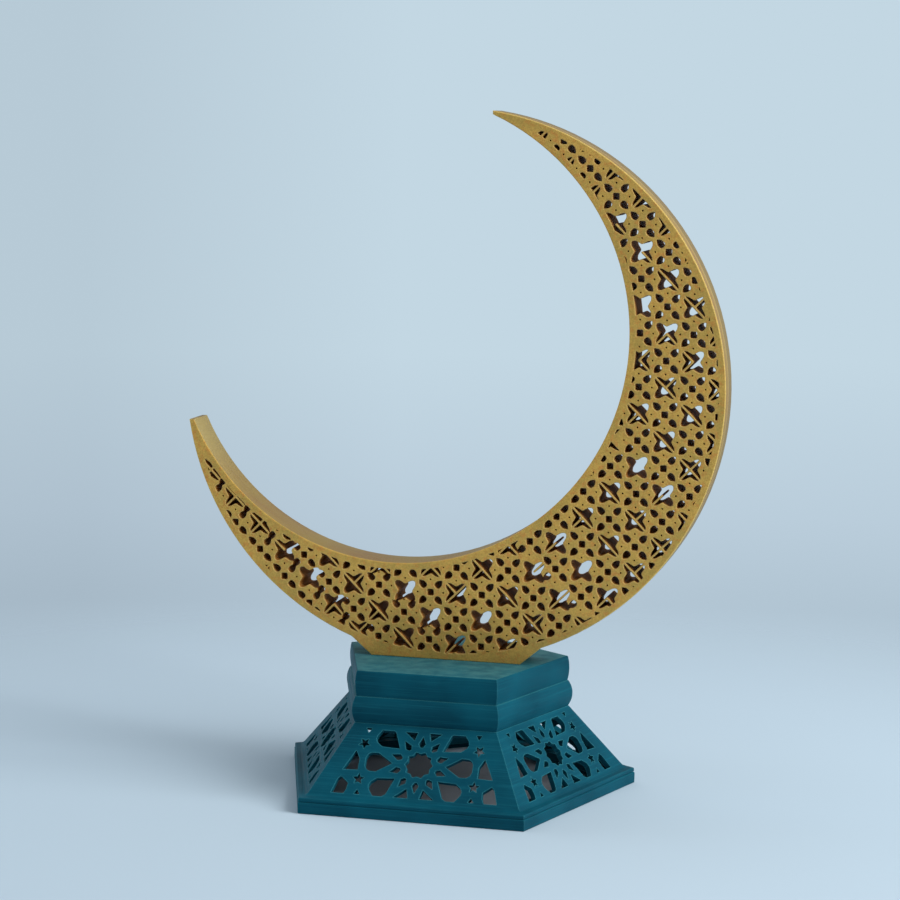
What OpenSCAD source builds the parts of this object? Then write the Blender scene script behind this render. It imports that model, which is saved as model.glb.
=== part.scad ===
/* [Crescent] */
// Radius of the crescent's outer circle
crescent_r = 80; // [77:0.5:84]
// Width of the crescent at its widest place, low on the right
belly_w = 34.4; // [30:0.2:38]
// How much smaller the circle that the crescent bends round is than the outer circle, in radius
bore_less = 12; // [10:0.2:14]
// Depth of the crescent from front to back
crescent_depth = 12.2; // [9:0.2:18]
// Thickness of the outer rim and of the inner rim
rim_t = 1.2; // [0.8:0.1:1.5]
// How far below the crescent's middle the left tip is cut flat
left_tip_drop = 12.6; // [10.6:0.2:18]
// How far to the right of the crescent's middle the upper tip is cut flat
top_tip_x = 11.5; // [9.5:0.25:16]
// Width of the flat foot under the crescent
foot_w = 44.6; // [40:0.2:50]
// Width over which the foot's flanks spread before they meet the outer circle
foot_flank_w = 57; // [52:0.5:62]

/* [Lattice] */
// Distance between neighbouring motifs of the lattice, along and up
pitch = 7.65; // [7.3:0.05:9]
// Place of one star to the right of the crescent's middle
lattice_x = 55.1; // [50:0.1:60]
// Place of the same star above the crescent's middle
lattice_z = -5.5; // [-10:0.1:0]
// Solid border of the lattice panel inside each rim
border_w = 0.8; // [0.6:0.1:3]
// Reach of a star's arm from the star's middle
star_arm = 4; // [3.2:0.1:4.4]
// Widest part of a star's arm
star_arm_w = 1.9; // [1.2:0.1:2.2]
// Distance from a star's middle to the waist between two arms
star_waist = 2; // [1.4:0.1:2.4]
// Width of the thin rib that splits an arm lengthways
rib_w = 0.6; // [0.3:0.05:0.8]
// Width of the square hole
square_w = 1.9; // [1.2:0.1:2.4]
// Distance from a square's middle to the blunt end of a petal hole
petal_in = 2.1; // [1.8:0.1:2.4]
// Distance from a square's middle to the pointed end of a petal hole
petal_out = 5; // [3.6:0.1:5.1]
// Widest part of a petal hole
petal_w = 2; // [1.2:0.04:2.2]
// Diameter of the dot hole between a star and a square
dot_d = 0.5; // [0.4:0.05:0.9]

/* [Base] */
// Distance from the base's axis to a corner of the plinth ring
plinth_r = 55.6; // [54:0.2:60]
// Height of the plinth ring
plinth_h = 3.3; // [2.6:0.05:6]
// Width of the plinth ring from its outer side to its inner side
plinth_w = 5.4; // [4:0.1:8]
// Rounding of the plinth ring's outer edges
plinth_edge_r = 0.35; // [0.2:0.05:1]
// How far the skirt's flange stays inside the plinth ring, from corner to corner
flange_inset = 0.2; // [0.1:0.1:1.5]
// Thickness of the flange
flange_t = 1.3; // [0.8:0.05:1.8]
// Rounding of the flange's edges
flange_edge_r = 0.38; // [0.1:0.01:0.4]
// How far the flange reaches out past the skirt's foot, from corner to corner
flange_w = 2.7; // [2.4:0.1:4]
// Radius of the hollow curve between the skirt's foot and its flange
cove_r = 3; // [1:0.1:3.5]
// Distance from the axis to a corner of the skirt's top
skirt_top_r = 35.4; // [34:0.1:37]
// Height of the skirt above its flange
skirt_h = 18.9; // [16:0.1:22]
// Wall of the skirt, measured square to its face
skirt_wall = 1.6; // [1.2:0.1:3]

/* [Girih panel] */
// Reach of the rosette's petals from the rosette's middle
rosette_r = 15.4; // [13:0.1:16]
// Height of the rosette's middle above the skirt's foot, up the slope
rosette_s = 11.9; // [10.5:0.1:13]
// Solid rail under the pierced field, up the slope
low_rail_w = 1.7; // [1:0.1:3]
// Solid rail over the pierced field, up the slope
top_rail_w = 1.8; // [1:0.1:3]
// Distance from the rosette's middle to a small five-pointed star
small_star_at = 17.6; // [17:0.1:19]
// Reach of a small star's points
small_star_r = 1.8; // [1:0.1:2]

/* [Cap] */
// How far a corner of the lower moulding, at its fullest, stands out past the skirt's top
low_bead_out = 1.1; // [0.4:0.1:2]
// Height of the lower moulding
low_bead_h = 7.6; // [6:0.1:9]
// Radius of the lower moulding's curve
low_bead_curve = 7.4; // [6:0.1:12]
// How far a corner of the upper moulding stays inside the lower moulding's
top_bead_in = 1.1; // [0.4:0.1:2]
// Height of the upper moulding
top_bead_h = 7.4; // [6:0.1:9]
// Radius of the upper moulding's curve
top_bead_curve = 16.8; // [12:0.2:24]
// Rounding of the cap's top edge
cap_edge_r = 0.45; // [0.2:0.05:1]
// Thickness of the cap's top
cap_top_t = 3; // [2:0.1:4]

/* [Fits] */
// Gap between the ends of the key's socket and the inside of the cap
socket_room = 2.3; // [1:0.1:5]
// Width of the key from front to back
key_w = 7.6; // [6:0.1:8]
// Depth to which the key reaches into the base
key_h = 10; // [7:0.5:10]
// Bevel at the key's lower edges
key_bevel = 1; // [0.4:0.1:1.5]
// Wall of the socket round the key
socket_wall = 2; // [1.2:0.1:3]
// Gap between the key and its socket and round each collar, on each side
fit_gap = 0.3; // [0.2:0.05:0.4]
// Height of the collars that centre the cap and the skirt
collar_h = 1.5; // [1:0.1:2]
// Wall of those collars
collar_t = 2; // [1.2:0.1:3]

/* [Hidden] */
$fn = 180;
cut = 0.5;
sides = 5;
dot_sides = 24;
edge_steps = 5;
bead_steps = 12;
quarter = 90;
side_angle = 4*quarter/sides;
petals = 10;
petal_angle = 4*quarter/petals;
star_points = 5;
arms = 4;
// Angle above level of the way from the crescent's middle to that of the circle that it bends round
lean = 45;

// The base's levels, its corners and the distance from its axis to a flat side
flat_share = cos(side_angle/2);
flange_r = plinth_r-flange_inset;
skirt_low_r = flange_r-flange_w;
low_bead_r = skirt_top_r+low_bead_out;
top_bead_r = low_bead_r-top_bead_in;
flange_top = plinth_h+flange_t;
skirt_top = flange_top+skirt_h;
bead_groove = skirt_top+low_bead_h;
cap_top = bead_groove+top_bead_h;
plinth_a = plinth_r*flat_share;
plinth_in = plinth_a-plinth_w;
skirt_low_a = skirt_low_r*flat_share;
skirt_top_a = skirt_top_r*flat_share;
slope = atan2(skirt_h, skirt_low_a-skirt_top_a);
slope_l = skirt_h/sin(slope);
skirt_wall_level = skirt_wall/sin(slope);
cap_in = skirt_top_a-skirt_wall_level-fit_gap-collar_t;

// The socket is as long as the cap's inside allows beside it, and the key is as long as the socket
socket_w = key_w+2*(fit_gap+socket_wall);
socket_l = 2*((cap_in-socket_w/2*sin(side_angle/4))/cos(side_angle/4)-socket_room);
key_l = socket_l-2*(fit_gap+socket_wall);

// The crescent's middle, and the circle that it bends round, which lies up and to the left of it
crescent_z = cap_top+crescent_r;
bore_r = crescent_r-bore_less;
bore_shift = belly_w-bore_less;
bore_x = -bore_shift*cos(lean);
bore_z = bore_shift*sin(lean);
foot_flank_z = -sqrt(pow(crescent_r, 2)-pow(foot_flank_w/2, 2));

// A petal hole: share of the way from its blunt to its pointed end, share of its width
petal_shares = [[0, 0.28], [0.2, 0.5], [0.6, 0.46], [1, 0]];
// How far out along a star's arm its widest place is
arm_wide_share = 0.82;
// The lattice is laid in strips that run down to the right. Each row holds the diagonal that a strip
// starts at and the shares of the pitch by which it is shifted
strip_shift_shares = [[-10, [0.18, -0.16]], [-17, [0.14, 0.01]], [-20, [0.36, 0.14]]];
// The stars that don't have all four ribs: steps of the pitch to the right and up, and the ribs that
// they have, counted round from the upper right
loose_star_steps = [
  [-1, 7, [3]], [0, 6, [3]], [1, 5, [1, 3]], [0, 4, []], [2, 4, [0, 1, 3]], [1, 3, [2, 3]],
  [0, 2, [0, 3]], [2, 2, [1, 2]], [1, 1, [0, 1, 3]], [0, 0, [1, 2, 3]], [2, 0, [1, 3]],
  [1, -1, [1, 3]], [0, -2, []], [1, -3, [2]], [-1, -3, [1, 3]], [0, -4, [0, 1, 3]],
  [-2, -4, [1, 2, 3]], [-1, -5, [1, 3]], [0, -6, [0, 1, 3]], [-3, -5, [2]], [-2, -6, []],
  [-1, -7, [2, 3]], [-4, -6, [0]], [-3, -7, [0, 2]], [-6, -6, [1, 2, 3]], [-5, -7, [1, 3]],
  [-6, -8, []], [-4, -8, [0, 1, 3]], [-5, -9, [0]], [-7, -7, [0, 1, 2]], [-8, -8, []],
  [-7, -9, [2]], [-9, -7, []], [-9, -9, [1, 3]], [-10, -8, [1, 2, 3]], [-11, -7, [0, 1, 3]],
  [-12, -8, [2, 3]], [-12, -6, [1, 3]], [-13, -7, []], [-14, -6, [1]]];

// The rosette's outlines: shares of its reach, along a ray and to the side of it
core_tip_share = 0.266;
core_valley_share = 0.224;
kite_shares = [[0.565, 0], [0.415, 0.066], [0.345, 0.022]];
rosette_petal_shares = [[0.5, 0], [0.79, 0.186], [0.922, 0.18], [0.982, 0.142], [1.012, 0.075]];
small_star_valley_share = 0.46;
// The openings beside the rosette: shares of half the skirt's foot and of the slope's length
wedge_shares = [[0.607, 0.64], [0.562, 0.535], [0.562, 0.39], [0.704, 0.381]];
corner_shares = [[0.776, 0.076], [0.734, 0.258], [0.707, 0.295], [0.63, 0.216], [0.636, 0.134],
                 [0.657, 0.076]];
low_chip_shares = [[0.505, 0.078], [0.56, 0.078], [0.533, 0.14]];
top_chip_shares = [[0.492, 0.94], [0.548, 0.94], [0.52, 0.878]];

function turned(v, a) = [v[0]*cos(a)-v[1]*sin(a), v[0]*sin(a)+v[1]*cos(a)];
// Points round an arc about a middle, from one angle to another
function arc_points(mid, r, from, to, steps) =
  [for (i = [0:steps]) mid+turned([r, 0], from+(to-from)*i/steps)];
function both_sides(pts) =
  concat(pts, [for (i = [len(pts)-1:-1:0]) if (pts[i][1] != 0) [pts[i][0], -pts[i][1]]]);

// The crescent's outline, drawn inward from its round edges and from its cut tips
module crescent_area(inward, from_tips) {
  difference() {
    circle(crescent_r-inward);
    translate([bore_x, bore_z]) circle(bore_r+inward);
    translate([-crescent_r, -left_tip_drop-from_tips]) square(crescent_r);
    translate([top_tip_x+from_tips-2*crescent_r, 0]) square(2*crescent_r);
  }
}

// The foot's flanks outside the outer circle
module foot_area() {
  polygon([[-foot_w/2, -crescent_r], [foot_w/2, -crescent_r],
           [foot_flank_w/2, foot_flank_z], [-foot_flank_w/2, foot_flank_z]]);
}

// The hole between the rib at angle a and the next rib, the given number of quarter turns on
module star_hole(a, quarters) {
  half = quarters*quarter/2;
  corner = quarters < arms ? [turned([rib_w/2/sin(half), 0], a+half)]
                           : [turned([0, -rib_w/2], a), turned([0, rib_w/2], a)];
  wide = star_arm*arm_wide_share;
  edge = [for (q = [0:quarters-1]) each [
    turned([star_arm, rib_w/2], a+quarter*q),
    turned([wide, star_arm_w/2], a+quarter*q),
    turned([star_waist, 0], a+quarter*(q+1/2)),
    turned([wide, -star_arm_w/2], a+quarter*(q+1)),
    turned([star_arm, -rib_w/2], a+quarter*(q+1))]];
  polygon(concat(corner, edge));
}

module star(ribs) {
  n = len(ribs);
  if (n == 0)
    polygon([for (q = [0:arms-1]) each [
      turned([star_arm*arm_wide_share, -star_arm_w/2], quarter*(q+1/2)),
      turned([star_arm, -rib_w/2], quarter*(q+1/2)),
      turned([star_arm, rib_w/2], quarter*(q+1/2)),
      turned([star_arm*arm_wide_share, star_arm_w/2], quarter*(q+1/2)),
      turned([star_waist, 0], quarter*(q+1))]]);
  else
    for (i = [0:n-1])
      star_hole(quarter*(ribs[i]+1/2), i < n-1 ? ribs[i+1]-ribs[i] : ribs[0]+arms-ribs[i]);
}

module square_and_petals() {
  square(square_w, center = true);
  for (q = [0:arms-1])
    rotate(quarter*(q+1/2))
      polygon(both_sides([for (s = petal_shares) [petal_in+(petal_out-petal_in)*s[0], petal_w*s[1]]]));
  for (q = [0:arms-1])
    rotate(quarter*q) translate([pitch/2, 0]) circle(d = dot_d, $fn = dot_sides);
}

// The lattice's motifs whose middles lie within reach of the crescent
module lattice() {
  reach = ceil(2*crescent_r/pitch);
  for (col = [-reach:reach], row = [-reach:reach]) {
    past = [for (s = strip_shift_shares) if (col+row <= s[0]) s[1]];
    shift = len(past) == 0 ? [0, 0] : past[len(past)-1];
    x = lattice_x+pitch*(col+shift[0]);
    z = lattice_z+pitch*(row+shift[1]);
    if (norm([x, z]) < crescent_r+star_waist && norm([x-bore_x, z-bore_z]) > bore_r-star_waist) {
      own = [for (s = loose_star_steps) if (s[0] == col && s[1] == row) s[2]];
      translate([x, z]) {
        if ((col+row)%2 == 0)
          star(len(own) == 0 ? [for (q = [0:arms-1]) q] : own[0]);
        else
          square_and_petals();
      }
    }
  }
}

// Stands a drawing of the crescent's face upright, as deep as the crescent
module upright() {
  translate([0, crescent_depth/2, crescent_z])
    rotate([quarter, 0, 0]) linear_extrude(crescent_depth) children();
}

// The panel between the rims. Its openings run straight through from the front to the back
module crescent_lattice() {
  color("darkgoldenrod")
    upright()
      difference() {
        crescent_area(rim_t, 0);
        intersection() {
          crescent_area(rim_t+border_w, rim_t+border_w);
          lattice();
        }
      }
}

module crescent_outer_rim() {
  color("goldenrod")
    upright()
      difference() {
        union() {
          crescent_area(0, 0);
          foot_area();
        }
        circle(crescent_r-rim_t);
      }
}

module crescent_inner_rim() {
  color("khaki")
    upright()
      intersection() {
        circle(crescent_r-rim_t);
        crescent_area(0, 0);
        translate([bore_x, bore_z]) circle(bore_r+rim_t);
      }
}

// A bar whose lower edges are bevelled so that it finds the slot
module crescent_foot_key() {
  low = key_w/2-key_bevel;
  color("goldenrod")
    translate([0, 0, cap_top])
      rotate([quarter, 0, quarter])
        linear_extrude(key_l, center = true)
          polygon([[-key_w/2, 0], [-key_w/2, key_bevel-key_h], [-low, -key_h],
                   [low, -key_h], [key_w/2, key_bevel-key_h], [key_w/2, 0]]);
}

// A regular five-sided solid whose side profile is the drawing given: distance from the axis, height
module five_sided() {
  intersection_for (k = [0:sides-1])
    rotate([quarter, 0, side_angle*k-quarter])
      linear_extrude(3*plinth_r, center = true) children();
}

// An upright five-sided bar with a flat side at the given distance from the axis
module five_sided_bar(a, z0, z1) {
  translate([0, 0, z0]) rotate(quarter) cylinder(r = a/flat_share, h = z1-z0, $fn = sides);
}

// Side profile of a flat band with two rounded outer edges
module rounded_band(a, z0, z1, r) {
  polygon(concat([[-plinth_r, z1], [-plinth_r, z0]],
                 arc_points([a-r, z0+r], r, -quarter, 0, edge_steps),
                 arc_points([a-r, z1-r], r, 0, quarter, edge_steps)));
}

module base_plinth() {
  color("darkcyan")
    difference() {
      five_sided() rounded_band(plinth_a, 0, plinth_h, plinth_edge_r);
      five_sided_bar(plinth_in, -cut, plinth_h+cut);
    }
}

// Side profile of the skirt's inside, carried on above its top
module skirt_inside() {
  polygon([[-plinth_r, flange_top], [skirt_low_a-skirt_wall_level, flange_top],
           [skirt_top_a-skirt_wall_level-cut/tan(slope), skirt_top+cut], [-plinth_r, skirt_top+cut]]);
}

// Points beside the rosette, from shares of half the skirt's foot and of the slope's length
function panel_points(shares) =
  [for (s = shares) [s[0]*skirt_low_a*tan(side_angle/2), s[1]*slope_l]];

// A star with one point towards the rosette's middle
module small_star() {
  polygon([for (i = [0:2*star_points-1])
    turned([-small_star_r*(i%2 == 0 ? 1 : small_star_valley_share), 0], 2*quarter*i/star_points)]);
}

// The openings of one side, drawn on its slope: across from the middle, up from the skirt's foot
module girih_panel() {
  intersection() {
    translate([-skirt_low_a, low_rail_w])
      square([2*skirt_low_a, slope_l-low_rail_w-top_rail_w]);
    translate([0, rosette_s]) {
      polygon([for (k = [0:2*petals-1])
        turned([rosette_r*(k%2 == 0 ? core_tip_share : core_valley_share), 0], k*petal_angle/2)]);
      for (k = [0:petals-1]) {
        rotate((k+1/2)*petal_angle) polygon(rosette_r*both_sides(kite_shares));
        rotate(k*petal_angle) polygon(rosette_r*both_sides(rosette_petal_shares));
      }
      for (k = [0, petals/2-1, petals/2, petals-1])
        rotate((k+1/2)*petal_angle) translate([small_star_at, 0])
          small_star();
    }
  }
  for (m = [0, 1])
    mirror([m, 0])
      for (shares = [wedge_shares, corner_shares, low_chip_shares, top_chip_shares])
        polygon(panel_points(shares));
}

// Side profile of the skirt's outside, with the hollow curve that runs out on its flange
module skirt_outside() {
  cove_l = cove_r*tan(slope/2);
  polygon(concat([[-plinth_r, skirt_top], [-plinth_r, flange_top-flange_t/2],
                  [skirt_low_a+cove_l, flange_top-flange_t/2]],
                 arc_points([skirt_low_a+cove_l, flange_top+cove_r], cove_r, 3*quarter,
                            3*quarter-slope, edge_steps),
                 [[skirt_top_a, skirt_top]]));
}

module pierced_skirt() {
  color("teal")
    difference() {
      union() {
        five_sided() skirt_outside();
        five_sided() rounded_band(flange_r*flat_share, plinth_h, flange_top, flange_edge_r);
        five_sided_bar(plinth_in-fit_gap, plinth_h-collar_h, plinth_h+flange_t/2);
      }
      five_sided() skirt_inside();
      five_sided_bar(plinth_in-fit_gap-collar_t, plinth_h-collar_h-cut, flange_top+cut);
      for (k = [0:sides-1])
        rotate(side_angle*k) translate([0, -skirt_low_a, flange_top]) rotate([slope, 0, 0])
          translate([0, 0, -skirt_wall-cut]) linear_extrude(skirt_wall+2*cut) girih_panel();
    }
}

// Side profile of the two mouldings and the rounded top edge
module cap_profile() {
  low_mid = [low_bead_r*flat_share-low_bead_curve, skirt_top+low_bead_h/2];
  top_mid = [top_bead_r*flat_share-top_bead_curve, bead_groove+top_bead_h/2];
  low_half = asin(low_bead_h/2/low_bead_curve);
  top_half = asin(top_bead_h/2/top_bead_curve);
  edge_from = asin((cap_top-cap_edge_r-top_mid[1])/(top_bead_curve-cap_edge_r));
  edge_mid = top_mid+turned([top_bead_curve-cap_edge_r, 0], edge_from);
  polygon(concat([[-plinth_r, cap_top], [-plinth_r, skirt_top]],
                 arc_points(low_mid, low_bead_curve, -low_half, low_half, bead_steps),
                 arc_points(top_mid, top_bead_curve, -top_half, edge_from, bead_steps),
                 arc_points(edge_mid, cap_edge_r, edge_from, quarter, edge_steps)));
}

module base_cap() {
  color("teal")
    difference() {
      union() {
        five_sided() cap_profile();
        five_sided_bar(cap_in+collar_t, skirt_top-collar_h, skirt_top+cut);
      }
      five_sided_bar(cap_in, skirt_top-collar_h-cut, cap_top-cap_top_t);
      translate([-key_l/2-fit_gap, -key_w/2-fit_gap, cap_top-cap_top_t-cut])
        cube([key_l+2*fit_gap, key_w+2*fit_gap, cap_top_t+2*cut]);
    }
}

// A closed pocket under the cap's top that holds the key
module key_socket() {
  pocket = [key_l+2*fit_gap, key_w+2*fit_gap, key_h+fit_gap-cap_top_t];
  color("cadetblue")
    translate([0, 0, cap_top-cap_top_t])
      difference() {
        translate([-pocket[0]/2-socket_wall, -pocket[1]/2-socket_wall, -pocket[2]-socket_wall])
          cube([pocket[0]+2*socket_wall, pocket[1]+2*socket_wall, pocket[2]+socket_wall]);
        translate([-pocket[0]/2, -pocket[1]/2, -pocket[2]])
          cube([pocket[0], pocket[1], pocket[2]+cut]);
      }
}

crescent_lattice();
crescent_outer_rim();
crescent_inner_rim();
crescent_foot_key();
base_cap();
key_socket();
pierced_skirt();
base_plinth();
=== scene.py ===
"""Looks of a printed crescent ornament: a gold pierced crescent on a teal five-sided base."""
import math

import bmesh
import bpy
from mathutils import Matrix, Vector, noise
from mathutils.geometry import delaunay_2d_cdt


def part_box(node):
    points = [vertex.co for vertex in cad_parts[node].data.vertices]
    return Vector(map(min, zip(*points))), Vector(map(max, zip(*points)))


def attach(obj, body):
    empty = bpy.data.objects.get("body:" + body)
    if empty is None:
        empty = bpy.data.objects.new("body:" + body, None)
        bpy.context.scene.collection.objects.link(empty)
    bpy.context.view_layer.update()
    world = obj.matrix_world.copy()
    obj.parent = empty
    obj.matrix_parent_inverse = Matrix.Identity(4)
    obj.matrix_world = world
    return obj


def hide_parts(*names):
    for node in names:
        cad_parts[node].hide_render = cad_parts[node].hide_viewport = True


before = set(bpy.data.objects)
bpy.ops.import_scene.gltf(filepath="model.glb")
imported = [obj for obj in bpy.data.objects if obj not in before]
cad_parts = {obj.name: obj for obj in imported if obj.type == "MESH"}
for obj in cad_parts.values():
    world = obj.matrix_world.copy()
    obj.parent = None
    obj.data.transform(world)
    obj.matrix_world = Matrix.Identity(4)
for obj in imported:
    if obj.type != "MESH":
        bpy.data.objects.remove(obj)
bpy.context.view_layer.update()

MM = 0.001

# The camera, in the model's frame: the photograph is PHOTO_PX wide and high
PHOTO_PX = 900
SENSOR_MM = 36
FOCAL_PX = 2577.3
CAMERA_AZIMUTH = math.radians(13.704)
CAMERA_ELEVATION = math.radians(7.310)
CAMERA_ROLL = math.radians(0.857)
CAMERA_DISTANCE = 750.7*MM
CAMERA_TARGET = Vector((-0.945, 0, 99.47))*MM
NEAREST_SEEN = 10*MM

# Colours, as sRGB values from 0 to 255
GOLD = (214, 174, 86)
GOLD_OLIVE = (194, 163, 82)
GOLD_RED = (210, 138, 66)
# The next gold is a painted highlight on the bevels round the lattice's openings
GOLD_HALO_HIGHLIGHT = (202, 170, 98)
# The next gold is a painted highlight along the outer band's front edge
GOLD_EDGE_HIGHLIGHT = (216, 186, 104)
HOLE_WALL = (206, 144, 72)
WALL_DEEPER = 0.6
RIM_GOLD = (152, 128, 70)
RIM_PINK = (146, 114, 70)
RIM_PALE = (170, 147, 90)
RIM_LINE = (184, 164, 100)
RIM_BACK = (130, 115, 75)
# The next gold is a painted sheen and painted light from above, on the inner band near the left tip
RIM_TIP_SHEEN = (171, 153, 95)
TEAL = (10, 82, 100)
TEAL_DEEP = (8, 68, 85)
TEAL_PALE = (24, 100, 116)
# The next teal is a painted highlight along the base's edges
TEAL_EDGE_HIGHLIGHT = (58, 138, 150)
# The next teal is a painted sheen and painted light from above on the cap's top faces
TEAL_TOP_SHEEN = (62, 118, 124)
FLOOR = (184, 203, 217)
# The next colour is painted shade on the floor under the hollow base
FLOOR_PAINTED_SHADE = (136, 142, 150)
ROOM_LIGHT = (236, 242, 248)
# The backdrop's colour by the height of the line of sight, from -1 to 1
BACKDROP = ((-0.285, (196, 215, 229)), (-0.245, (188, 207, 221)), (-0.215, (181, 200, 214)),
            (-0.185, (177, 196, 210)), (-0.15, (186, 205, 219)), (-0.09, (195, 215, 227)))
# Towards the left it is multiplied by this colour, by how far the line of sight points across
BACKDROP_LEFT = (240, 240, 241)
LEFT_FROM, LEFT_FULL = -0.02, -0.14

# Printed layers, and how fine the noise in the materials is, in cells per metre
LAYER = 0.2*MM
GOLD_PATCHES = 120
GOLD_SPECKS = 700
GOLD_GRAIN = 2400
GOLD_LUMPS = 800
PRINT_PATCHES = 60
TEAL_BLOTCHES = 260
ACROSS_LAYERS = 2600

# Where the colours change, in the model's frame
# The gold's painted shade is full below the first of these heights and gone above the second
GOLD_PAINTED_SHADE_BELOW, GOLD_LIT_ABOVE = 38*MM, 58*MM
# The teal's painted sheen on up-facing faces grows between these two heights
TEAL_SHEEN_FROM, TEAL_SHEEN_FULL = 20*MM, 30*MM
RIM_LINE_Y = -1*MM
RIM_LINE_REACH, RIM_LINE_CORE = 0.9*MM, 0.2*MM
# The inner band's painted sheen grows between these two places, towards the left tip
RIM_SHEEN_FROM, RIM_SHEEN_FULL = -66*MM, -75*MM

# Openings and bevels of the crescent's pieces
EDGE_BEVEL = 0.3*MM
HOLE_BEVEL = 0.24*MM
# A corner that turns by LEAST_TURN or more is rounded over CORNER_CUT, but SIDE_SHARE of a side at most
CORNER_CUT = 0.36*MM
SIDE_SHARE = 0.45
LEAST_TURN = math.radians(24)
LONGEST_STEP = 1.5*MM
WAVER = 0.05*MM
WAVER_SPAN = 1.4*MM
# An opening under SMALLEST is left out, and one under DOT stays sharp, with a narrower bevel
SMALLEST = 0.03*MM*MM
DOT = 0.5*MM*MM
DOT_BEVEL_SHARE = 0.4
# From the face down: shares of a bevel's width and of its depth, on a quarter round
BEVEL_STEPS = ((1, 0), (0.29, 0.29), (0, 1))
# Outlines nearer than this belong to pieces that meet
SEAM = 0.15*MM
# At a sharp corner the bevel's lengthening stops, and where the way turns back there is none
LEAST_COSINE = 0.6
TURNED_BACK = 0.2
# Where bevels would cross, their widths go to this share of themselves, down to nothing
NARROWER = 0.6
NO_BEVEL = 0.01*MM
# Points this near the front belong to its face
FACE_DEPTH = 0.01*MM
# Points nearer than this are one: in a flat drawing, in mm, then in outlines, pieces and copies
SAME_DRAWN = 1e-5
SAME_IN_OUTLINE = 0.001*MM
SAME_IN_SLAB = 0.0005*MM
SAME_IN_COPY = 0.002*MM

# Edges that turn by more than this stay sharp: on the pieces made here and on copies
SLAB_SHARP = math.radians(28)
COPY_SHARP = math.radians(25)

# Without a seed, the noise that wavers the outlines would differ from run to run
WAVER_SEED = 7
noise.seed_set(WAVER_SEED)

# The floor: a disc, which fades from FADE_FROM out, and has painted shade that makes it darker under the
# hollow base
FLOOR_REACH = 0.6
FADE_FROM, FADE_TO = 0.13, 0.36
INSIDE_TO, OUTSIDE_FROM = 36*MM, 39*MM

# Lamps: the way to each from the ornament, its size in metres, its level and its colour
LAMP_DISTANCE = 1.2
LAMPS = {"key": ((0.84, -0.19, 0.54), 0.8, 1.25, (1, 0.99, 0.97)),
         "fill": ((-0.75, 0.45, 0.5), 0.9, 0.16, (0.95, 0.98, 1)),
         "side": ((-1, -0.02, 0.06), 0.5, 0.3, (0.95, 0.98, 1))}
ROOM_LEVEL = 0.45


def linear(colour):
    """An sRGB colour, from 0 to 255, as Blender's linear colour with alpha."""
    parts = [c/255 for c in colour]
    return [p/12.92 if p <= 0.04045 else ((p+0.055)/1.055)**2.4 for p in parts]+[1]


class Nodes:
    """A node tree whose nodes are added one at a time."""

    def __init__(self, tree):
        self.tree = tree

    def node(self, kind, inputs=None, **settings):
        made = self.tree.nodes.new("ShaderNode"+kind)
        for name, value in settings.items():
            setattr(made, name, value)
        for name, value in (inputs or {}).items():
            self.put(value, made.inputs[name])
        return made

    def put(self, value, socket):
        if isinstance(value, bpy.types.NodeSocket):
            self.tree.links.new(value, socket)
        else:
            socket.default_value = value

    def math(self, operation, a, b=0.0):
        return self.node("Math", {0: a, 1: b}, operation=operation).outputs[0]

    def span(self, value, low, high, to_low=0.0, to_high=1.0, way="LINEAR"):
        """A value between low and high, spread from to_low to to_high and held there beyond them."""
        made = self.node("MapRange", {"Value": value, "From Min": low, "From Max": high,
                                      "To Min": to_low, "To Max": to_high}, interpolation_type=way)
        return made.outputs[0]

    def mix(self, share, a, b, blend="MIX"):
        made = self.node("Mix", data_type="RGBA", blend_type=blend)
        self.put(share, made.inputs[0])
        self.put(a, made.inputs[6])
        self.put(b, made.inputs[7])
        return made.outputs[2]

    def dot(self, a, b):
        return self.node("VectorMath", {0: a, 1: b}, operation="DOT_PRODUCT").outputs["Value"]

    def noise(self, where, scale, detail=3.0, rough=0.5):
        inputs = {"Vector": where, "Scale": scale, "Detail": detail, "Roughness": rough}
        return self.node("TexNoise", inputs).outputs["Fac"]

    def parts(self, vector):
        """The x, y and z of a vector."""
        return self.node("SeparateXYZ", {0: vector}).outputs


class Look(Nodes):
    """A material built on the principled shader."""

    def __init__(self, name):
        self.material = bpy.data.materials.new(name)
        self.material.use_nodes = True
        super().__init__(self.material.node_tree)
        self.shader = self.tree.nodes["Principled BSDF"]
        self.where = self.node("TexCoord").outputs["Object"]

    def set(self, **values):
        """Sets the shader's own sockets; an underscore in a name stands for a space."""
        for name, value in values.items():
            self.shader.inputs[name.replace("_", " ")].default_value = value

    def streaks(self, along, detail, rough=0.5, level=False):
        """Noise drawn out along the printed layers, which lie level or else upright, facing the front."""
        scale = (along, along, ACROSS_LAYERS) if level else (along, ACROSS_LAYERS, along)
        where = self.node("VectorMath", {0: self.where, 1: scale}, operation="MULTIPLY").outputs[0]
        return self.noise(where, 1.0, detail, rough)

    def layers(self, across):
        """A wave as long as one printed layer is thick."""
        return self.math("SINE", self.math("MULTIPLY", across, 2*math.pi/LAYER))

    def edge_share(self, radius):
        """1 at a sharp outer edge, 0 on the flat."""
        round_normal = self.node("Bevel", {"Radius": radius}, samples=6).outputs[0]
        flat_normal = self.node("NewGeometry").outputs["Normal"]
        return self.span(self.dot(round_normal, flat_normal), 0.995, 0.80)

    def finish(self, colour, roughness, height, depth, edge_radius=0):
        """The finished material, with bumps of the given depth and, where asked for, rounded edges."""
        bump = self.node("Bump", {"Height": height, "Distance": depth, "Strength": 1.0})
        if edge_radius:
            bevel = self.node("Bevel", {"Radius": edge_radius}, samples=4).outputs[0]
            self.put(bevel, bump.inputs["Normal"])
        self.put(colour, self.shader.inputs["Base Color"])
        self.put(roughness, self.shader.inputs["Roughness"])
        self.put(bump.outputs[0], self.shader.inputs["Normal"])
        return self.material


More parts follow.
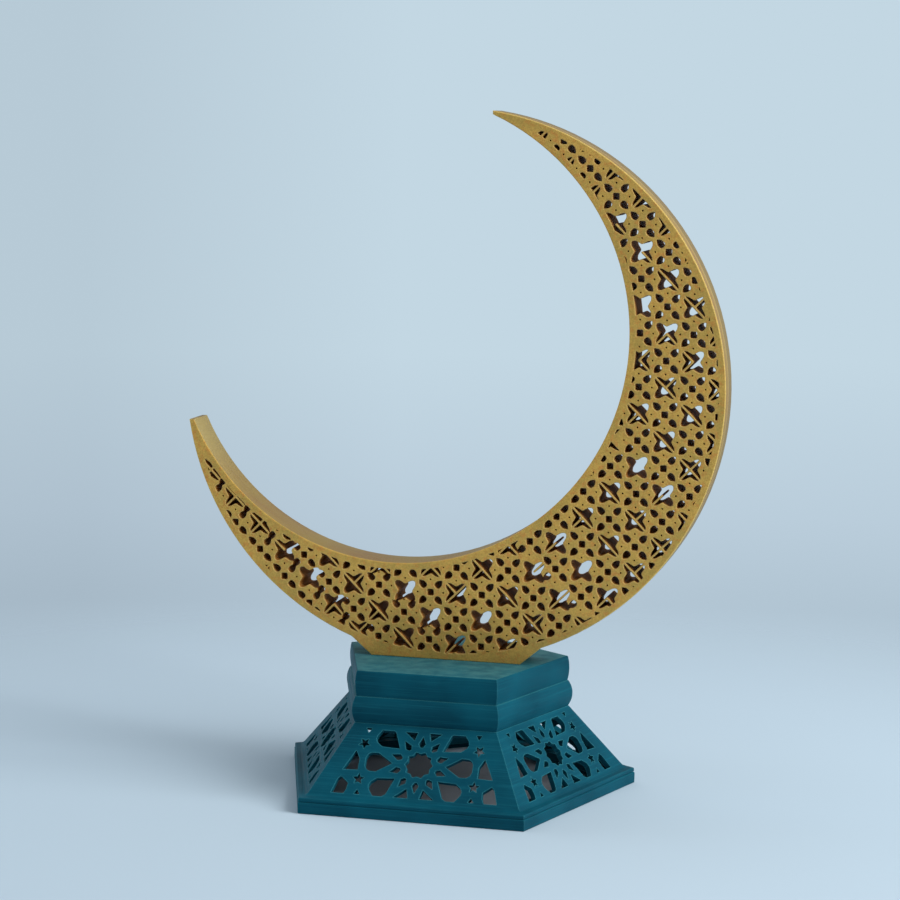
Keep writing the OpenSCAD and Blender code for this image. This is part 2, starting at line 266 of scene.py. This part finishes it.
def gold_face(name, base, other, warmth):
    """The flat faces of the crescent: satin gold with warm and olive patches and fine grain,
    with painted shade that darkens them near the foot."""
    look = Look(name)
    patches = look.span(look.noise(look.where, GOLD_PATCHES), 0.38, 0.62)
    warm = look.span(look.noise(look.where, GOLD_SPECKS, 4, 0.65), 0.50, 0.66)
    grain = look.noise(look.where, GOLD_GRAIN)
    colour = look.mix(patches, linear(base), linear(other))
    colour = look.mix(look.math("MULTIPLY", warm, warmth), colour, linear(GOLD_RED))
    # painted shade: the gold darkens towards the foot
    painted_shade_by_height = look.span(look.parts(look.where)["Z"], GOLD_PAINTED_SHADE_BELOW, GOLD_LIT_ABOVE, 0.7, 1)
    dark = look.math("MULTIPLY", look.span(grain, 0.3, 0.7, 0.80, 1.10), painted_shade_by_height)
    grey = look.node("CombineColor", {0: dark, 1: dark, 2: dark}).outputs[0]
    colour = look.mix(1.0, colour, grey, "MULTIPLY")
    roughness = look.span(grain, 0.3, 0.7, 0.34, 0.5)
    height = look.math("ADD", look.math("MULTIPLY", grain, 0.4), look.noise(look.where, GOLD_LUMPS))
    look.set(Metallic=0.2, Specular_IOR_Level=0.3)
    return look.finish(colour, roughness, height, depth=0.06*MM)


def hole_wall():
    """The sides of the crescent's openings: brown, with printed layers from front to back."""
    look = Look("hole_wall")
    streaks = look.streaks(along=300, detail=2)
    colour = look.mix(streaks, linear(HOLE_WALL), linear([c*WALL_DEEPER for c in HOLE_WALL]))
    look.set(Specular_IOR_Level=0.02)
    return look.finish(colour, 0.5, streaks, depth=0.04*MM)


def gold_rim(name, lined):
    """The edge bands: gold with printed layers along the band. The outer one, which is lined, has a
    light line and another tone behind it, and the inner one has a painted sheen and painted light
    from above that make it paler near the crescent's left tip."""
    look = Look(name)
    x, y, _ = look.parts(look.where)
    streaks = look.streaks(along=60, detail=3)
    patches = look.span(look.noise(look.where, PRINT_PATCHES, 2), 0.38, 0.62)
    colour = look.mix(patches, linear(RIM_GOLD), linear(RIM_PINK))
    colour = look.mix(look.span(streaks, 0.4, 0.75, 0, 0.7), colour, linear(RIM_PALE))
    if lined:
        colour = look.mix(look.span(y, RIM_LINE_Y, -RIM_LINE_Y, 0, 0.7), colour, linear(RIM_BACK))
        from_line = look.math("ABSOLUTE", look.math("SUBTRACT", y, RIM_LINE_Y))
        on_line = look.span(from_line, RIM_LINE_REACH, RIM_LINE_CORE, 0, 0.6)
        colour = look.mix(on_line, colour, linear(RIM_LINE))
    else:
        # painted sheen and painted light from above near the left tip
        colour = look.mix(look.span(x, RIM_SHEEN_FROM, RIM_SHEEN_FULL, 0, 0.8), colour, linear(RIM_TIP_SHEEN))
    height = look.math("ADD", look.math("MULTIPLY", look.layers(y), 0.35), streaks)
    roughness = look.span(streaks, 0.3, 0.7, 0.34, 0.5)
    look.set(Metallic=0.2, Specular_IOR_Level=0.3)
    return look.finish(colour, roughness, height, depth=0.04*MM)


def teal_print(name, edge_radius, edge_highlight_amount):
    """Satin teal with level printed layers, streaked, with a painted highlight along its edges
    and a painted sheen and painted light from above on the cap's top.
    """
    look = Look(name)
    z = look.parts(look.where)["Z"]
    streaks = look.streaks(along=50, detail=4, rough=0.6, level=True)
    patches = look.span(look.noise(look.where, PRINT_PATCHES, 2), 0.35, 0.65)
    colour = look.mix(patches, linear(TEAL), linear(TEAL_DEEP))
    colour = look.mix(look.span(streaks, 0.5, 0.8, 0, 0.7), colour, linear(TEAL_PALE))
    up = look.parts(look.node("NewGeometry").outputs["True Normal"])["Z"]
    # painted sheen and painted light from above: up-facing faces high on the base turn paler
    top = look.math("MULTIPLY", look.span(up, 0.97, 0.995), look.span(z, TEAL_SHEEN_FROM, TEAL_SHEEN_FULL))
    blotches = look.span(look.noise(look.where, TEAL_BLOTCHES, 4), 0.35, 0.65, 0.35, 0.9)
    colour = look.mix(look.math("MULTIPLY", top, blotches), colour, linear(TEAL_TOP_SHEEN))
    # painted highlight: the teal is paler along its sharp edges
    edges = look.math("MULTIPLY", look.edge_share(edge_radius), edge_highlight_amount)
    colour = look.mix(edges, colour, linear(TEAL_EDGE_HIGHLIGHT))
    lines = look.math("MULTIPLY", look.layers(z), 0.4)
    height = look.math("ADD", lines, look.math("MULTIPLY", streaks, 1.5))
    roughness = look.span(streaks, 0.3, 0.7, 0.38, 0.56)
    look.set(Specular_IOR_Level=0.045)
    return look.finish(colour, roughness, height, depth=0.045*MM, edge_radius=0.25*MM)


def area(ring):
    """Signed area of a closed list of points."""
    return sum(a.x*b.y-b.x*a.y for a, b in zip(ring, ring[1:]+ring[:1]))/2


def is_dot(ring):
    """Whether an opening is one of the smallest."""
    return abs(area(ring)) < DOT


def face_outlines(node_name):
    """The outlines of a node's front face as closed lists of points, the outermost first.
    Each starts at its leftmost point, so that every run gives the same lists."""
    bm = bmesh.new()
    bm.from_mesh(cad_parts[node_name].data)
    bmesh.ops.remove_doubles(bm, verts=bm.verts, dist=SAME_IN_OUTLINE)
    level = min(v.co.y for v in bm.verts)
    flat = {f for f in bm.faces if all(v.co.y-level < FACE_DEPTH for v in f.verts)}
    after = {}
    for f in flat:
        for loop in f.loops:
            if sum(g in flat for g in loop.edge.link_faces) == 1:
                after[loop.vert.index] = loop.link_loop_next.vert.index
    place = {v.index: Vector((v.co.x, v.co.z)) for v in bm.verts}
    bm.free()
    rings = []
    while after:
        start, step = after.popitem()
        ring = [start]
        while step != start:
            ring.append(step)
            step = after.pop(step)
        first = min(range(len(ring)), key=lambda k: tuple(place[ring[k]]))
        rings.append([place[i] for i in ring[first:]+ring[:first]])
    return sorted(rings, key=lambda ring: (-abs(area(ring)), tuple(ring[0])))


def softened(ring):
    """The outline with each corner rounded over a short length of its sides."""
    made = []
    for before, here, after in zip(ring[-1:]+ring[:-1], ring, ring[1:]+ring[:1]):
        back, on = before-here, after-here
        if math.pi-back.angle(on) < LEAST_TURN:
            made.append(here)
            continue
        start = here+back.normalized()*min(CORNER_CUT, SIDE_SHARE*back.length)
        end = here+on.normalized()*min(CORNER_CUT, SIDE_SHARE*on.length)
        for t in (0, 0.5, 1):
            made.append(start*(1-t)**2+here*2*t*(1-t)+end*t**2)
    return made


def divided(ring):
    """The outline with points added along its long sides."""
    made = []
    for here, after in zip(ring, ring[1:]+ring[:1]):
        count = max(1, math.ceil((after-here).length/LONGEST_STEP))
        made += [here.lerp(after, k/count) for k in range(count)]
    return made


def wavered(ring):
    """The outline moved a little here and there, as a printed line runs."""
    return [p+Vector(noise.noise_vector((p.x/WAVER_SPAN, p.y/WAVER_SPAN, 0))[:2])*WAVER for p in ring]


def side_steps(ring):
    """For each point, a unit vector to the left of the outline's way round, lengthened at a corner."""
    made = []
    for before, here, after in zip(ring[-1:]+ring[:-1], ring, ring[1:]+ring[:1]):
        a, b = (here-before).normalized(), (after-here).normalized()
        along = (a+b).normalized() if (a+b).length > TURNED_BACK else b
        left = Vector((-along.y, along.x))
        made.append(left/max(LEAST_COSINE, left.dot(Vector((-b.y, b.x)))))
    return made


def near(point, ring, gap):
    """Whether a point lies within the gap of a closed outline."""
    for a, b in zip(ring, ring[1:]+ring[:1]):
        along = b-a
        share = max(0, min(1, (point-a).dot(along)/along.length_squared))
        if (a+along*share-point).length < gap:
            return True
    return False


def loop_edges(rings):
    """The edges of closed outlines whose points stand one after another in a single list."""
    edges = []
    for ring in rings:
        first = len(edges)
        edges += [(first+k, first+(k+1) % len(ring)) for k in range(len(ring))]
    return edges


def crossed_corners(points, edges):
    """The points at the ends of the edges that cross another."""
    _, lines, _, sources, drawn, _ = delaunay_2d_cdt(points, edges, [], 0, SAME_DRAWN)
    return {corner for line, origins in zip(lines, drawn) if not all(sources[i] for i in line)
            for edge in origins for corner in edges[edge]}


def pushed_points(rings, widths):
    """The outlines' points, and their pushes to the left by their widths. Where outlines would
    cross, the widths in the list itself are made narrower until they don't."""
    edges = loop_edges(rings)
    points = [p for ring in rings for p in ring]
    steps = [s for ring in rings for s in side_steps(ring)]
    crossed = True
    while crossed:
        pushes = [s*w for s, w in zip(steps, widths)]
        crossed = crossed_corners([(p+push)/MM for p, push in zip(points, pushes)], edges)
        for i in crossed:
            widths[i] = NARROWER*widths[i] if widths[i] > NO_BEVEL else 0
    return points, pushes


def fill(bm, rows):
    """Fills the area that lies to the left of every row's way round with triangles.
    Known fault: where the drawing loses an edge, because two points all but coincide, the fill gets
    into that opening and closes it. This happens at one opening of the lattice."""
    corners = [v for row in rows for v in row]
    edges = loop_edges(rows)
    flat = [Vector((v.co.x, v.co.z))/MM for v in corners]
    _, _, faces, sources, _, _ = delaunay_2d_cdt(flat, edges, [], 0, SAME_DRAWN)
    place = {source: i for i, same in enumerate(sources) for source in same}
    drawn = {(place[a], place[b]) for a, b in edges}
    owner = {(f[i-1], f[i]): tuple(f) for f in faces for i in range(3)}
    left = [owner[edge] for edge in drawn if edge in owner]
    kept = set(left)
    while left:
        f = left.pop()
        for i in range(3):
            edge, back = (f[i-1], f[i]), (f[i], f[i-1])
            beyond = owner.get(back)
            if beyond and edge not in drawn and back not in drawn and beyond not in kept:
                kept.add(beyond)
                left.append(beyond)
    for f in sorted(kept):
        bm.faces.new([corners[sources[i][0]] for i in f])


def slab_outlines(node_name):
    """The outlines of a node that is cut from a flat drawing, the outermost first, with rounded and
    wavered openings. What is solid lies to the left of each one's way round."""
    rings = []
    for ring in face_outlines(node_name):
        outer = not rings
        if not outer and abs(area(ring)) < SMALLEST:
            continue
        if (area(ring) < 0) == outer:
            ring = ring[::-1]
        if not outer and not is_dot(ring):
            ring = wavered(divided(softened(ring)))
        rings.append(ring)
    return rings


def bevelled_rows(bm, ring, pushes, widths, front, back):
    """Rows of corners along an outline: down the front's bevel and then up the back's."""
    rows = []
    for side, level in ((1, front), (-1, back)):
        for share, down in BEVEL_STEPS:
            rows.append([bm.verts.new((p.x+push.x*share, level+side*w*down, p.y+push.y*share))
                         for p, push, w in zip(ring, pushes, widths)])
    half = len(BEVEL_STEPS)
    return rows[:half]+rows[:half-1:-1]


def smooth_under(bm, sharp):
    """Smooth shading over every edge that turns by less than the angle given."""
    for e in bm.edges:
        e.smooth = len(e.link_faces) == 2 and e.calc_face_angle(0) < sharp


def slab(name, node_name, mates, materials):
    """A node cut from a flat drawing, made again with rounded openings and bevels at both faces.
    Edges that touch a mate's outline stay sharp, so that no seam shows. The materials are those of
    the faces, the bevels and the sides."""
    low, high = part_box(node_name)
    rings = slab_outlines(node_name)
    widths = [0 if any(near(p, mate, SEAM) for mate in mates) else EDGE_BEVEL for p in rings[0]]
    for ring in rings[1:]:
        widths += [HOLE_BEVEL*(DOT_BEVEL_SHARE if is_dot(ring) else 1)]*len(ring)
    points, pushes = pushed_points(rings, widths)
    bm = bmesh.new()
    front_rows, back_rows = [], []
    first = 0
    for ring in rings:
        part = slice(first, first+len(ring))
        first = part.stop
        rows = bevelled_rows(bm, points[part], pushes[part], widths[part], low.y, high.y)
        bevel = 0 if is_dot(ring) else 1
        for number, (upper, lower) in enumerate(zip(rows, rows[1:])):
            is_side = number == len(BEVEL_STEPS)-1
            for k in range(len(ring)):
                n = (k+1) % len(ring)
                made = bm.faces.new((upper[k], upper[n], lower[n], lower[k]))
                made.material_index = 2 if is_side else bevel
                made.smooth = ring is rings[0] or not is_side
        front_rows.append(rows[0])
        back_rows.append(rows[-1])
    for rows in (front_rows, back_rows):
        fill(bm, rows)
    bmesh.ops.remove_doubles(bm, verts=bm.verts, dist=SAME_IN_SLAB)
    bmesh.ops.recalc_face_normals(bm, faces=bm.faces)
    smooth_under(bm, SLAB_SHARP)
    mesh = bpy.data.meshes.new(name)
    bm.to_mesh(mesh)
    bm.free()
    piece = add_piece(name, mesh, *materials)
    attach(piece, "crescent")
    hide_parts(node_name)
    return piece


def add_piece(name, mesh, *materials):
    piece = bpy.data.objects.new(name, mesh)
    bpy.context.scene.collection.objects.link(piece)
    for material in materials:
        mesh.materials.append(material)
    return piece


def refined(name, node_name, body, material):
    """A copy of a node's mesh, joined at its seams, smooth over its shallow facets."""
    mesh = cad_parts[node_name].data.copy()
    mesh.materials.clear()
    bm = bmesh.new()
    bm.from_mesh(mesh)
    bmesh.ops.remove_doubles(bm, verts=bm.verts, dist=SAME_IN_COPY)
    for f in bm.faces:
        f.smooth = True
    smooth_under(bm, COPY_SHARP)
    bm.to_mesh(mesh)
    bm.free()
    piece = add_piece(name, mesh, material)
    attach(piece, body)
    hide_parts(node_name)
    return piece


def dress(node_name, material):
    """Gives a node that stays its material."""
    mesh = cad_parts[node_name].data
    mesh.materials.clear()
    mesh.materials.append(material)


def add_camera():
    turn, tilt = CAMERA_AZIMUTH, CAMERA_ELEVATION
    forward = Vector((-math.sin(turn)*math.cos(tilt), math.cos(turn)*math.cos(tilt), -math.sin(tilt)))
    right = Vector((math.cos(turn), math.sin(turn), 0))
    up = right.cross(forward)
    across = right*math.cos(CAMERA_ROLL)+up*math.sin(CAMERA_ROLL)
    upward = up*math.cos(CAMERA_ROLL)-right*math.sin(CAMERA_ROLL)
    data = bpy.data.cameras.new("camera")
    data.sensor_width = SENSOR_MM
    data.lens = FOCAL_PX*SENSOR_MM/PHOTO_PX
    data.clip_start = NEAREST_SEEN
    camera = bpy.data.objects.new("camera", data)
    bpy.context.scene.collection.objects.link(camera)
    place = Matrix.Identity(4)
    for row in range(3):
        place[row][0], place[row][1], place[row][2] = across[row], upward[row], -forward[row]
        place[row][3] = (CAMERA_TARGET-forward*CAMERA_DISTANCE)[row]
    camera.matrix_world = place
    bpy.context.scene.camera = camera


def add_lamp(name, towards, size, level, colour):
    """A square soft lamp. At level 1 a face turned to it shows its own colour."""
    data = bpy.data.lights.new(name, "AREA")
    data.shape = "SQUARE"
    data.size = size
    data.energy = level*(math.pi*LAMP_DISTANCE)**2
    data.color = colour
    lamp = bpy.data.objects.new(name, data)
    bpy.context.scene.collection.objects.link(lamp)
    way = Vector(towards).normalized()
    lamp.location = CAMERA_TARGET+way*LAMP_DISTANCE
    lamp.rotation_euler = (-way).to_track_quat("-Z", "Y").to_euler()


def add_world():
    """An even pale light, and for the camera a pale sweep with a soft band where it turns up."""
    world = bpy.data.worlds.new("room")
    bpy.context.scene.world = world
    world.use_nodes = True
    nodes = Nodes(world.node_tree)
    light = world.node_tree.nodes["Background"]
    light.inputs["Color"].default_value = linear(ROOM_LIGHT)
    light.inputs["Strength"].default_value = ROOM_LEVEL
    way = nodes.node("TexCoord").outputs["Generated"]
    height = nodes.parts(way)["Z"]
    colour = linear(BACKDROP[0][1])
    for (low, _), (high, tone) in zip(BACKDROP, BACKDROP[1:]):
        colour = nodes.mix(nodes.span(height, low, high), colour, linear(tone))
    across = nodes.dot(way, (math.cos(CAMERA_AZIMUTH), math.sin(CAMERA_AZIMUTH), 0))
    left = nodes.span(across, LEFT_FROM, LEFT_FULL)
    shaded = nodes.mix(1.0, colour, linear(BACKDROP_LEFT), "MULTIPLY")
    seen = nodes.node("Background", {"Color": nodes.mix(left, colour, shaded)})
    path = nodes.node("LightPath")
    choice = nodes.node("MixShader", {0: path.outputs["Is Camera Ray"]})
    nodes.put(light.outputs[0], choice.inputs[1])
    nodes.put(seen.outputs[0], choice.inputs[2])
    nodes.put(choice.outputs[0], world.node_tree.nodes["World Output"].inputs["Surface"])


def add_floor():
    """A pale disc that fades into the backdrop away from the ornament, with painted shade under the
    hollow base.
    """
    bm = bmesh.new()
    bmesh.ops.create_circle(bm, cap_ends=True, segments=64, radius=FLOOR_REACH)
    mesh = bpy.data.meshes.new("floor")
    bm.to_mesh(mesh)
    bm.free()
    look = Look("floor")
    out = look.node("VectorMath", {0: look.where}, operation="LENGTH").outputs["Value"]
    fade = look.span(out, FADE_FROM, FADE_TO, 1.0, 0.0, "SMOOTHSTEP")
    look.put(fade, look.shader.inputs["Alpha"])
    # painted shade on the floor under the hollow base
    under = look.span(out, INSIDE_TO, OUTSIDE_FROM)
    look.put(look.mix(under, linear(FLOOR_PAINTED_SHADE), linear(FLOOR)), look.shader.inputs["Base Color"])
    look.set(Roughness=0.9, Specular_IOR_Level=0.05)
    floor = add_piece("floor", mesh, look.material)


def add_crescent():
    """The lattice panel and the two bands round it."""
    face_gold = gold_face("gold_face", GOLD, GOLD_OLIVE, warmth=0.62)
    # The second and third golds are painted highlights on bevels
    halo_highlight_gold = gold_face("gold_halo_highlight", GOLD_HALO_HIGHLIGHT, GOLD_HALO_HIGHLIGHT, warmth=0.15)
    edge_highlight_gold = gold_face("gold_edge_highlight", GOLD_EDGE_HIGHLIGHT, GOLD_EDGE_HIGHLIGHT, warmth=0.2)
    inner_brown = hole_wall()
    outer_gold = gold_rim("outer_gold", lined=True)
    inner_gold = gold_rim("inner_gold", lined=False)
    outer_rim, inner_rim = "crescent_outer_rim", "crescent_inner_rim"
    outlines = {name: face_outlines(name)[0] for name in ("crescent_lattice", outer_rim, inner_rim)}
    panel = slab("lattice_panel", "crescent_lattice", [outlines[outer_rim], outlines[inner_rim]],
                 (face_gold, halo_highlight_gold, inner_brown))
    for name, node_name, line, side in (("outer_band", outer_rim, edge_highlight_gold, outer_gold),
                                        ("inner_band", inner_rim, face_gold, inner_gold)):
        mates = [ring for other, ring in outlines.items() if other != node_name]
        band = slab(name, node_name, mates, (face_gold, line, side))
    refined("foot_key", "crescent_foot_key", "crescent", inner_gold)


def add_base():
    """The cap with its pocket, the plinth and the pierced skirt."""
    solid_teal = teal_print("teal_solid", edge_radius=0.5*MM, edge_highlight_amount=0.5)
    pierced_teal = teal_print("teal_pierced", edge_radius=0.45*MM, edge_highlight_amount=0.9)
    refined("cap", "base_cap", "base", solid_teal)
    refined("plinth", "base_plinth", "base", solid_teal)
    refined("skirt", "pierced_skirt", "base", pierced_teal)
    dress("key_socket", solid_teal)


add_camera()
add_world()
add_floor()
for lamp_name, settings in LAMPS.items():
    add_lamp(lamp_name, *settings)
add_crescent()
add_base()

scene = bpy.context.scene
scene.view_settings.view_transform = "Standard"
